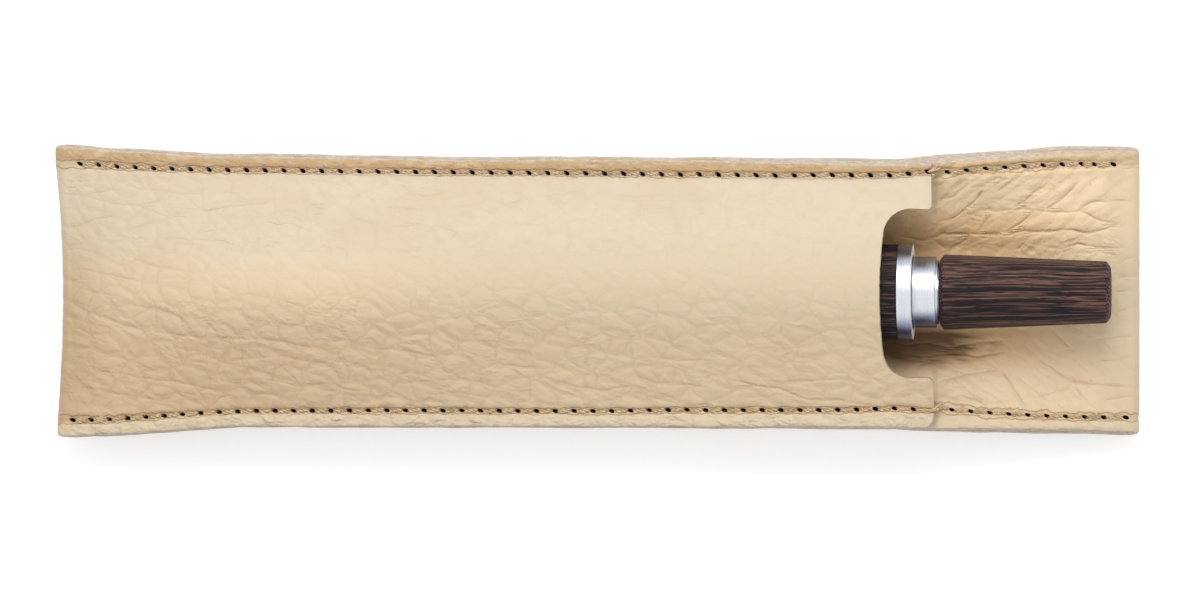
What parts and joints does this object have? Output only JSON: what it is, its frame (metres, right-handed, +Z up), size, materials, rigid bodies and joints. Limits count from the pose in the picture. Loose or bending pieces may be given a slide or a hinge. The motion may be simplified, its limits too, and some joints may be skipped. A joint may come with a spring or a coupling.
{
  "type": "leather pen case",
  "caption": "Flat sewn leather sleeve with folded ends and a thumb notch at its mouth, holding a wooden clutch lead holder with a push knob that slides out.",
  "frame": {"origin": "on the surface that the case rests on, under the middle of the case", "axes": "+X along the case from its closed end to the mouth and the folded flap end, +Y across it, +Z up out of the front panel"},
  "size_m": [0.1728, 0.0464, 0.0216],
  "materials": {
    "leather": "undyed grain leather with fine creases, raw cut edges",
    "thread": "waxed beige thread",
    "wood": "dark striped hardwood, satin",
    "aluminium": "turned, bright",
    "brass": "turned",
    "spring_steel": "drawn wire",
    "graphite": "dark grey lead"
  },
  "bodies": {
    "case": {"leather_wrap": "leather", "upper_seam_needle_thread": "thread", "upper_seam_bobbin_thread": "thread", "lower_seam_needle_thread": "thread", "lower_seam_bobbin_thread": "thread"},
    "pen": {"wooden_barrel": "wood", "rear_ring": "aluminium", "nose_cone": "aluminium", "clutch_spring": "spring_steel"},
    "knob": {"push_knob": "wood", "push_sleeve": "aluminium", "push_tube": "brass", "spring_collar": "brass", "clutch_collet": "brass"},
    "pen_lead": {"lead": "graphite"}
  },
  "joints": [
    {"name": "pen_slide", "type": "slide", "parent": "case", "child": "pen", "axis": [0.9997, 0, 0.0258], "range_m": [0, 0.16]},
    {"name": "knob_press", "type": "slide", "parent": "pen", "child": "knob", "axis": [-0.9997, 0, -0.0258], "range_m": [0, 0.003], "stiffness_N_per_m": 400, "deforming": ["clutch_spring"]},
    {"name": "lead_slide", "type": "slide", "parent": "knob", "child": "pen_lead", "axis": [-0.9997, 0, -0.0258], "range_m": [-0.058, 0.0035]}
  ]
}
